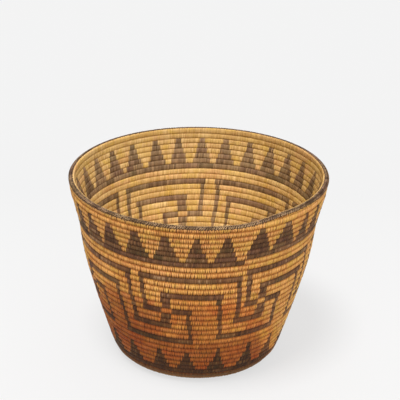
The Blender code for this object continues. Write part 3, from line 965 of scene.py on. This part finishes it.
def splint_material(name):
    """Willow and devil's claw: each splint's tone and hue, its wear and its fibres, a painted
    highlight on the crowns, and painted shade on the lower ends and in the grooves.
    """
    material = bpy.data.materials.new(name)
    n = Nodes(material)
    dark, tone, hue = n.attribute("stitch")
    along, across, outer = n.attribute("place")
    where = n.add("ShaderNodeTexCoord").outputs["Object"]
    fold = n.minus(0.5, n.off_middle(along))
    edge = n.off_middle(across)
    starts, ends = CROWN_FOLDS
    crown = n.times(n.range(fold, *starts, smooth=True), n.range(fold, *ends, smooth=True))

    inside = n.mix(tone, INSIDE_DEEP, INSIDE_PALE)
    light = n.mix(outer, inside, n.mix(tone, OUTSIDE_DEEP, OUTSIDE_PALE))
    light = n.mix(n.range(hue, *PINK_HUES), light, PINKISH)
    light = n.mix(n.range(hue, *GOLD_HUES), light, GOLDEN)
    # Painted highlight on the crowns of the stitches.
    light = n.mix(n.times(crown, n.range(edge, *CROWN_HIGHLIGHT_EDGES)), light, CROWN_HIGHLIGHT)
    # Painted shade on the stitches' lower ends.
    down_shade = n.times(n.range(fold, *LOWER_END_SHADE_FOLDS, smooth=True), n.range(outer, *LOWER_END_SHADE_SIDES))
    light = n.leave(down_shade, light, LOWER_END_SHADE)
    light = n.mix(n.range(n.noise(where, *GOLD_NOISE), *GOLD_SPOTS), light, GOLDEN)

    inside = n.mix(tone, CLAW_FADED_DEEP, CLAW_FADED)
    claw = n.mix(outer, inside, n.mix(tone, CLAW_DEEP, CLAW_PALE))
    claw = n.mix(n.range(hue, *PURPLE_HUES), claw, PURPLISH)
    claw = n.mix(n.range(hue, *GREEN_HUES), claw, GREENISH)
    scratched = n.times(n.times(n.range(tone, *SCRATCHED_TONES), crown), outer)
    claw = n.mix(scratched, claw, SCRATCHED)

    colour = worn(n, where, outer, dark, light, claw)
    colour = n.leave(n.range(n.noise(where, *PATINA_NOISE), *PATINA_SPOTS), colour, PATINA)
    to_across, to_along, to_splint = FIBRE_SCALE
    splint = n.times(n.plus(tone, hue), to_splint)
    fibre_at = n.join(n.times(across, to_across), n.times(along, to_along), splint)
    fibre = n.noise(fibre_at, *FIBRE_NOISE)
    colour = n.leave(n.range(fibre, *FIBRE_SPOTS), colour, FIBRE_DARK)

    # Painted shade at the stitches' sides and in the grooves between rounds, deeper for devil's
    # claw.
    shade = n.times(n.range(edge, *SIDE_SHADE_EDGES), n.range(outer, *SIDE_SHADE_SIDES))
    colour = n.leave(n.times(shade, n.range(fold, *SIDE_SHADE_FOLDS)), colour, GROOVE_SHADE)
    below = n.range(fold, *GROOVE_SHADE_BELOW, smooth=True)
    above = n.range(fold, *GROOVE_SHADE_ABOVE, smooth=True)
    groove_shade = n.times(n.math("MAXIMUM", below, above), n.range(outer, *GROOVE_SHADE_SIDES))
    colour = n.leave(n.times(groove_shade, n.range(dark, *GROOVE_SHADE_DARK)), colour, GROOVE_SHADE)
    n.finish(colour, fibre, SPLINT_ROUGHNESS, SPLINT_SPECULAR)
    return material


def worn(n, where, outer, dark, light, claw):
    """Joins both splints' colours, and darkens them by height and by side: browning with painted
    shade near the heel, painted shade inside at the top and on the right, and painted light on both
    sides outside.
    """
    x, y, height = n.split(where)
    inner = n.minus(1.0, outer)
    # Painted light: the lower colours lie lower at both sides, most at the right.
    higher = n.plus(n.range(x, *PAINTED_LIGHT_LEFT), n.range(x, *PAINTED_LIGHT_RIGHT))
    uneven_edge = n.range(n.noise(where, *BROWN_NOISE), *BROWN_UNEVEN)
    lower = n.minus(n.minus(height, higher), uneven_edge)
    ruddy = n.times(
        n.range(n.noise(where, *RUDDY_NOISE), *RUDDY_SPOTS), n.range(lower, *RUDDY_HEIGHTS)
    )
    light = n.leave(n.times(ruddy, outer), light, RUDDY)
    colour = n.mix(dark, light, claw)
    colour = n.leave(n.times(n.range(lower, *AMBER_HEIGHTS), outer), colour, AMBER)
    # Browning and painted shade near the heel, reaching higher at the left.
    lowest = n.range(n.minus(lower, n.range(x, *HEEL_SHADE_LEFT)), *HEEL_BROWN_AND_SHADE_HEIGHTS, smooth=True)
    colour = n.leave(n.times(lowest, outer), colour, n.mix(dark, HEEL_BROWN_AND_SHADE, DARK_HEEL_BROWN_AND_SHADE))
    # Painted shade inside, on the upper rounds.
    colour = n.leave(n.times(n.range(height, *INSIDE_TOP_SHADE_HEIGHTS), inner), colour, INSIDE_TOP_SHADE)
    # Painted shade inside, on the right.
    colour = n.leave(n.times(n.range(x, *INSIDE_RIGHT_SHADE_X), inner), colour, INSIDE_RIGHT_SHADE)
    # Painted light on both sides outside.
    sideways = n.math("DIVIDE", n.math("ABSOLUTE", x), n.length(n.join(x, y, 0.0)))
    colour = n.leave(n.times(n.range(sideways, *SIDES_PAINTED_LIGHT_SHARES), outer), colour, SIDES_PAINTED_LIGHT)
    return n.mix(n.times(n.range(height, *FOOT_HEIGHTS), outer), colour, FOOT_TAN)


def braid_material():
    """Devil's claw of the braid, rubbed pale along its top, with painted shade under crossings and
    at the strands' sides.
    """
    material = bpy.data.materials.new("devils_claw_braid")
    n = Nodes(material)
    _, tone, hue = n.attribute("stitch")
    over, across, tooth = n.attribute("place")
    where = n.add("ShaderNodeTexCoord").outputs["Object"]
    _, y, _ = n.split(where)
    wear = n.plus(n.noise(where, *WEAR_NOISE), n.range(y, *BRAID_FRONT))
    fleck = n.noise(where, *FLECK_NOISE)
    colour = n.mix(tone, BRAID_DEEP, BRAID_PALE)
    colour = n.mix(n.range(hue, *BRAID_PURPLE_HUES), colour, BRAID_PURPLE)
    colour = n.mix(n.range(wear, *BRAID_WORN_SPOTS), colour, BRAID_WORN)
    flecks = n.times(n.range(fleck, *BRAID_FLECK_SPOTS), n.range(wear, *BRAID_FLECK_WEAR))
    colour = n.mix(flecks, colour, BRAID_FLECK)
    # Painted shade where a strand passes under another.
    colour = n.leave(n.range(over, *BRAID_UNDER_SHADE_SHARES, smooth=True), colour, BRAID_UNDER_SHADE)
    patches = n.range(n.noise(where, *PATCH_NOISE), *BRAID_PATCH_SPOTS)
    colour = n.leave(patches, colour, BRAID_PATCH)
    colour = n.mix(tooth, colour, BRAID_TOOTH)
    # Painted shade at the strands' sides.
    colour = n.leave(n.range(n.off_middle(across), *BRAID_EDGE_SHADE_WIDTHS), colour, BRAID_EDGE_SHADE)
    n.finish(colour, fleck, BRAID_ROUGHNESS, BRAID_SPECULAR)
    return material


def grey(level):
    return (level, level, level, 1.0)


def add_floor():
    mesh = bpy.data.meshes.new("floor")
    h, z = FLOOR_HALF, -FLOOR_DROP
    mesh.from_pydata([(-h, -h, z), (h, -h, z), (h, h, z), (-h, h, z)], [], [(0, 1, 2, 3)])
    floor = bpy.data.objects.new("floor", mesh)
    bpy.context.scene.collection.objects.link(floor)
    paper = bpy.data.materials.new("paper")
    n = Nodes(paper)
    n.tree.nodes.remove(n.tree.nodes["Principled BSDF"])
    bounce, shown = (n.add("ShaderNodeBsdfDiffuse") for _ in range(2))
    bounce.inputs[0].default_value = grey(FLOOR_BOUNCE)
    shown.inputs[0].default_value = grey(FLOOR_SHOWN)
    _, y, _ = n.split(n.add("ShaderNodeNewGeometry").outputs["Position"])
    glow = n.add("ShaderNodeEmission")
    n.link(n.range(y, *FLOOR_FALL, *FLOOR_GLOW), glow.inputs[1])
    both = n.add("ShaderNodeAddShader")
    n.feed(both.inputs, glow.outputs[0], shown.outputs[0])
    n.by_camera("Material Output", both.outputs[0], bounce.outputs[0])
    mesh.materials.append(paper)
    return floor


def add_world():
    world = bpy.data.worlds.new("studio")
    bpy.context.scene.world = world
    n = Nodes(world)
    lit = n.tree.nodes["Background"]
    lit.inputs[0].default_value = grey(1.0)
    lit.inputs[1].default_value = SKY
    shown = n.add("ShaderNodeBackground")
    shown.inputs[0].default_value = grey(BACKGROUND)
    n.by_camera("World Output", shown.outputs[0], lit.outputs[0])


def add_lamps(floor):
    """Only the key lamp lights the floor, so that there is one shadow."""
    spared = bpy.data.collections.new("spared")
    spared.objects.link(floor)
    spared.collection_objects[0].light_linking.link_state = "EXCLUDE"
    for name, azimuth, height, strength, width in LAMPS:
        lamp = bpy.data.lights.new(name, "SUN")
        lamp.energy = strength
        lamp.angle = math.radians(width)
        light = bpy.data.objects.new(name, lamp)
        light.rotation_euler = (math.radians(90.0 - height), 0.0, math.radians(azimuth))
        bpy.context.scene.collection.objects.link(light)
        if name != "key":
            light.light_linking.receiver_collection = spared


def add_camera():
    data = bpy.data.cameras.new("camera")
    data.lens = CAMERA_LENS
    data.sensor_width = CAMERA_SENSOR
    data.shift_x = CAMERA_SHIFT
    data.clip_start, data.clip_end = CAMERA_CLIP
    camera = bpy.data.objects.new("camera", data)
    ahead = Vector((0.0, math.cos(CAMERA_PITCH), -math.sin(CAMERA_PITCH)))
    over = Vector((0.0, math.sin(CAMERA_PITCH), math.cos(CAMERA_PITCH)))
    side = Vector((1.0, 0.0, 0.0))
    right = side * math.cos(CAMERA_ROLL) + over * math.sin(CAMERA_ROLL)
    up = over * math.cos(CAMERA_ROLL) - side * math.sin(CAMERA_ROLL)
    turn = Matrix((right, up, -ahead)).transposed().to_4x4()
    camera.matrix_world = Matrix.Translation(CAMERA_AT) @ turn
    bpy.context.scene.collection.objects.link(camera)
    bpy.context.scene.camera = camera


main()
